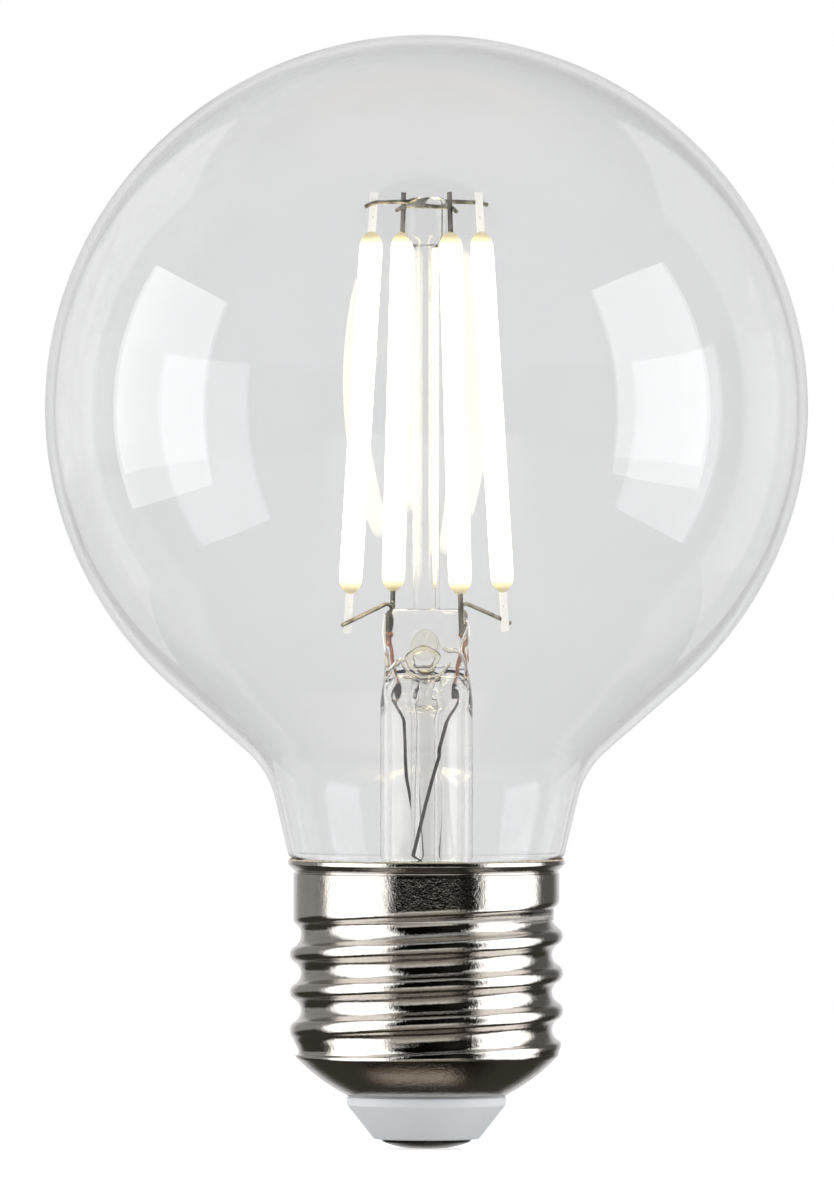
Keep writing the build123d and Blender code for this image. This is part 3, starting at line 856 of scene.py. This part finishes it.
class BULB_OT_wires(bpy.types.Operator):
    """Finishes the support, seal and lead wires"""

    bl_idname = "bulb.wires"
    bl_label = "Wires"

    def execute(self, context):
        bright = drawn_wire("support_wire", (0.4, 0.37, 0.3), (0.08, 0.07, 0.045))
        copper = drawn_wire("copper_clad_wire", (0.8, 0.42, 0.28), (0.45, 0.2, 0.12))
        dull = drawn_wire("lead_wire", (0.05, 0.045, 0.042), (0.012, 0.012, 0.012))
        dress(bright, *(f"support_wire_{side}" for side in SIDES))
        dress(bright, "top_wire_left_right", "top_wire_front_back")
        for side, name in ((-1, "left"), (1, "right")):
            path = [(side * x, y, z) for x, y, z in STRAND]
            vertices, faces = strand_mesh(path, STRAND_THICK, KNOT)
            if name == "right":
                more_vertices, more_faces = strand_mesh(SECOND_STRAND, SECOND_STRAND_THICK)
                faces += [tuple(i + len(vertices) for i in f) for f in more_faces]
                vertices += more_vertices
            piece = make_piece(f"copper_strand_{name}", vertices, faces, copper, f"seal_wire_{name}")
        dress(dull, "lead_wire_left", "lead_wire_right")
        return {"FINISHED"}


class BULB_OT_driver(bpy.types.Operator):
    """Finishes the driver's pieces inside the cap"""

    bl_idname = "bulb.driver"
    bl_label = "Driver"

    def execute(self, context):
        dress(plain_finish("board_laminate", (0.62, 0.65, 0.5), (0.5, 0.54, 0.4), 0.45), "driver_board")
        dress(plain_finish("sleeve_film", (0.85, 0.85, 0.83), (0.78, 0.78, 0.76), 0.35), "driver_sleeve")
        sleeve = plain_finish("capacitor_sleeve", (0.1, 0.11, 0.15), (0.07, 0.08, 0.11), 0.3)
        dress(sleeve, "smoothing_capacitor")
        dress(plain_finish("ferrite", (0.17, 0.17, 0.18), (0.1, 0.1, 0.11), 0.6), "choke_core")
        enamelled = plain_finish("enamelled_copper", (0.72, 0.34, 0.14), (0.5, 0.2, 0.08), 0.3, 0.9, 2400.0)
        dress(enamelled, "choke_winding")
        package = plain_finish("moulded_package", (0.05, 0.05, 0.055), (0.03, 0.03, 0.033), 0.5)
        dress(package, "bridge_rectifier", "driver_chip")
        dress(plain_finish("chip_resistor", (0.12, 0.12, 0.13), (0.07, 0.07, 0.08), 0.4), "chip_resistors")
        dress(plain_finish("fuse_lacquer", (0.3, 0.46, 0.38), (0.22, 0.36, 0.3), 0.35), "fuse_resistor")
        dress(plain_finish("wire_insulation", (0.68, 0.09, 0.07), (0.55, 0.06, 0.05), 0.4), "live_wire")
        dress(plain_finish("tinned_copper", (0.76, 0.72, 0.66), (0.6, 0.56, 0.5), 0.3, 1.0), "neutral_wire")
        return {"FINISHED"}


# Stage

PICTURE_WIDTH, PICTURE_HEIGHT = 834, 1200
AXIS_X, CONTACT_Y = 426.5, 1148.5
FLOOR_RADII, FLOOR_LEVEL, FLOOR_STEPS = (0.0, 20, 60, 160, 320), -0.05, 96
BOX_DISTANCE = 0.9
GLOBE_HEIGHT, CAP_HEIGHT = 71.6, 18.0
RIM_SHARE, CAP_SHARE = 0.2, 1.4
WHITE, BLACK = (1.0, 1.0, 1.0), (0.0, 0.0, 0.0)


def place_camera(scene, s):
    """A camera with a long lens, upright on the photograph's frame."""
    aside, up = PICTURE_WIDTH / 2 - AXIS_X, CONTACT_Y - PICTURE_HEIGHT / 2
    target = Vector((aside / s.pixels_per_mm, 0, up / s.pixels_per_mm)) * mm
    camera = bpy.data.cameras.new("camera")
    camera.sensor_fit = "VERTICAL"
    camera.sensor_height = 36.0
    camera.lens = camera.sensor_height * s.distance / (PICTURE_HEIGHT / s.pixels_per_mm * mm)
    camera.clip_start, camera.clip_end = 0.1, 50.0
    holder = bpy.data.objects.new("camera", camera)
    holder.location = target + Vector((0, -cos(s.elevation), sin(s.elevation))) * s.distance
    holder.rotation_euler = (pi / 2 - s.elevation, 0, 0)
    scene.collection.objects.link(holder)
    scene.camera = holder


def lay_floor(scene):
    """A pale floor that the camera sees as white, straight on and through glass."""
    paint = Finish("floor_paint", Roughness=0.9)
    mist = paint.noise(30.0, 2.0)
    colour = paint.mix(mist, (0.8, 0.79, 0.78), (0.83, 0.82, 0.81))
    crossed = paint.add("ShaderNodeLightPath", output="Is Transmission Ray")
    seen = paint.add("ShaderNodeLightPath", output="Is Camera Ray")
    lift = paint.mix(seen, BLACK, (0.7, 0.7, 0.7))
    paint.feed(Base_Color=paint.mix(crossed, colour, BLACK))
    paint.feed(Emission_Color=paint.mix(crossed, lift, WHITE), Emission_Strength=1.0)
    vertices, faces = lathe([(r, FLOOR_LEVEL) for r in FLOOR_RADII], FLOOR_STEPS)
    mesh = bpy.data.meshes.new("floor")
    mesh.from_pydata([tuple(c * mm for c in v) for v in vertices], [], flipped(faces))
    mesh.materials.append(paint.material)
    ground = bpy.data.objects.new("floor", mesh)
    scene.collection.objects.link(ground)
    ground.visible_glossy = False


def dark_studio(tree):
    """What shiny surfaces mirror: a dark room with a light table, seen from the bulb."""
    way = finish_node(tree, "ShaderNodeTexCoord", {}, {}, "Generated")
    x, y, z = (finish_node(tree, "ShaderNodeSeparateXYZ", {}, {"Vector": way}, axis) for axis in "XYZ")

    def noise(scale, roughness):
        sockets = {"Vector": way, "Scale": scale, "Detail": 5.0, "Roughness": roughness}
        return finish_node(tree, "ShaderNodeTexNoise", {}, sockets, "Fac")

    clutter, fine = noise(5.0, 0.6), noise(17.0, 0.65)
    down, aside = z * -1.0, abs(x)

    patches = fine.ramp(0.52, 0.72) * (0.1 + x.ramp(0.05, 0.45)).clip()
    room = between(tree, patches, (0.002, 0.002, 0.001), (0.2, 0.19, 0.17))
    flanks = between(tree, x.ramp(-0.3, 0.3), (0.46, 0.455, 0.45), (0.17, 0.165, 0.16))
    flanks = between(tree, fine.ramp(0.4, 0.7) * 0.6, flanks, (0.08, 0.075, 0.07))
    shown = between(tree, y.ramp(-0.05, 0.25), room, flanks)

    table = between(tree, down.ramp(0.05, 0.8), (1.1, 1.08, 1.03), (0.35, 0.32, 0.28))
    table = between(tree, clutter.ramp(0.4, 0.65) * 0.5, table, (0.45, 0.42, 0.38))
    table = between(tree, aside.ramp(0.4, 0.55), table, (0.05, 0.045, 0.04))
    table = between(tree, y.ramp(-0.1, 0.2), table, (0.06, 0.055, 0.045))
    shown = between(tree, down.ramp(0.1, 0.16), shown, table)

    under = between(tree, fine.ramp(0.5, 0.66), (0.006, 0.005, 0.003), (0.13, 0.11, 0.085))
    arc = y - x * x * 1.8
    glint = arc.ramp(0.1, 0.15) * (1.0 - arc.ramp(0.3, 0.36))
    glint = glint * x.ramp(-0.46, -0.36) * (1.0 - x.ramp(0.16, 0.24))
    under = between(tree, glint * (0.6 + 0.4 * clutter), under, (0.62, 0.55, 0.46))
    shown = between(tree, down.ramp(0.82, 0.9), shown, under)

    roof = between(tree, aside.ramp(0.25, 0.45), (0.38, 0.3, 0.21), (0.2, 0.19, 0.18))
    overhead = z.ramp(0.1, 0.2) * y.ramp(-0.25, 0.0) * z.ramp(0.72, 0.8)
    shown = between(tree, overhead, shown, roof)
    return between(tree, y.ramp(0.84, 0.95), shown, (0.8, 0.8, 0.81))


def build_world(scene):
    """White for the camera, through glass too; grey as a light; a dark studio for reflections."""
    world = bpy.data.worlds.new("studio")
    world.use_nodes = True
    tree = world.node_tree
    tree.nodes.clear()
    out = tree.nodes.new("ShaderNodeOutputWorld")
    back = tree.nodes.new("ShaderNodeBackground")
    tree.links.new(back.outputs[0], out.inputs[0])

    def ray(kind):
        return finish_node(tree, "ShaderNodeLightPath", {}, {}, kind)

    through = ray("Is Transmission Ray") * (1.0 - ray("Glossy Depth").clip() * 0.25)
    shown = between(tree, ray("Is Glossy Ray"), (0.84, 0.84, 0.84), dark_studio(tree))
    shown = between(tree, (ray("Is Camera Ray") + through).clip(), shown, WHITE)
    tree.links.new(shown.link, back.inputs["Color"])
    scene.world = world


def soft_box(name, turns, rises, height, strength, receivers):
    """A vertical panel that lights receivers; turns are from the camera's side, negative to the left."""
    turn, half = (turns[0] + turns[1]) / 2, (turns[1] - turns[0]) / 2
    low, high = (BOX_DISTANCE * sin(radians(e)) / cos(radians(e)) for e in rises)
    direction = Vector((sin(radians(turn)), -cos(radians(turn)), 0))
    lamp = bpy.data.lights.new(name, "AREA")
    lamp.shape = "RECTANGLE"
    lamp.size = 2 * BOX_DISTANCE * sin(radians(half)) / cos(radians(half))
    lamp.size_y = high - low
    lamp.energy = strength * pi * lamp.size * lamp.size_y
    box = bpy.data.objects.new(name, lamp)
    box.location = direction * BOX_DISTANCE + Vector((0, 0, height * mm + (low + high) / 2))
    box.rotation_euler = direction.to_track_quat("Z", "Y").to_euler()
    box.visible_camera = False

    # Dark for rays that only went through glass, so that no panel shows straight through the globe
    lamp.use_nodes = True
    shade = lamp.node_tree
    shade.nodes.clear()
    crossed = finish_node(shade, "ShaderNodeLightPath", {}, {}, "Transmission Depth").clip()
    mirrored = finish_node(shade, "ShaderNodeLightPath", {}, {}, "Glossy Depth").clip()
    glow = finish_node(shade, "ShaderNodeEmission", {}, {"Strength": 1.0 - crossed * (1.0 - mirrored)})
    shade.links.new(glow.link, shade.nodes.new("ShaderNodeOutputLight").inputs["Surface"])
    bpy.context.scene.collection.objects.link(box)
    box.light_linking.receiver_collection = receivers


class BULB_OT_stage(bpy.types.Operator):
    """Sets the camera, floor, world and soft boxes"""

    bl_idname = "bulb.stage"
    bl_label = "Stage"

    def execute(self, context):
        s = context.scene.bulb_stage
        scene = context.scene
        scene.view_settings.view_transform = "Standard"
        place_camera(scene, s)
        lay_floor(scene)
        build_world(scene)

        metal = bpy.data.collections.new("bright_metal")
        others = bpy.data.collections.new("all_but_bright_metal")
        for piece in (scene.objects["rolled_cap"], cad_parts["centre_contact"]):
            metal.objects.link(piece)
            others.objects.link(piece)
        for member in others.collection_objects:
            member.light_linking.link_state = "EXCLUDE"

        rim, cap = RIM_SHARE * s.card_strength, CAP_SHARE * s.card_strength
        soft_box("soft_box_left", (-108, -70), (-20, 29), GLOBE_HEIGHT, s.card_strength, others)
        soft_box("soft_box_right", (59, 94), (-18, 34), GLOBE_HEIGHT, s.card_strength, others)
        soft_box("rim_box_left", (-150, -120), (-30, 40), GLOBE_HEIGHT, rim, others)
        soft_box("rim_box_right", (112, 150), (-30, 40), GLOBE_HEIGHT, rim, others)
        soft_box("cap_box_left", (-96.8, -34.6), (-42, 56), CAP_HEIGHT, cap, metal)
        soft_box("cap_box_right", (50.3, 110.9), (-42, 56), CAP_HEIGHT, cap, metal)
        return {"FINISHED"}


class BULB_PT_panel(bpy.types.Panel):
    """Lists the bulb's pieces in the sidebar"""

    bl_idname = "BULB_PT_panel"
    bl_label = "LED filament bulb"
    bl_space_type = "VIEW_3D"
    bl_region_type = "UI"
    bl_category = "Bulb"

    def draw(self, context):
        layout = self.layout
        scene = context.scene
        groups = ((scene.bulb_cap, CapSizes), (scene.bulb_glass, GlassSizes),
                  (scene.bulb_finishes, Finishes), (scene.bulb_stage, StageSizes))
        for group, kind in groups:
            box = layout.box()
            for name in kind.__annotations__:
                box.prop(group, name)
        for operator in OPERATORS:
            layout.operator(operator.bl_idname)


OPERATORS = (BULB_OT_cap, BULB_OT_globe, BULB_OT_stem, BULB_OT_filaments, BULB_OT_wires, BULB_OT_driver,
             BULB_OT_stage)
CLASSES = (CapSizes, GlassSizes, Finishes, StageSizes, *OPERATORS, BULB_PT_panel)


def register():
    for cls in CLASSES:
        bpy.utils.register_class(cls)
    bpy.types.Scene.bulb_cap = PointerProperty(type=CapSizes)
    bpy.types.Scene.bulb_glass = PointerProperty(type=GlassSizes)
    bpy.types.Scene.bulb_finishes = PointerProperty(type=Finishes)
    bpy.types.Scene.bulb_stage = PointerProperty(type=StageSizes)


def unregister():
    for name in ("bulb_cap", "bulb_glass", "bulb_finishes", "bulb_stage"):
        delattr(bpy.types.Scene, name)
    for cls in reversed(CLASSES):
        bpy.utils.unregister_class(cls)


def main():
    register()
    for operator in OPERATORS:
        group, name = operator.bl_idname.split(".")
        getattr(getattr(bpy.ops, group), name)()


if __name__ == "__main__":
    main()
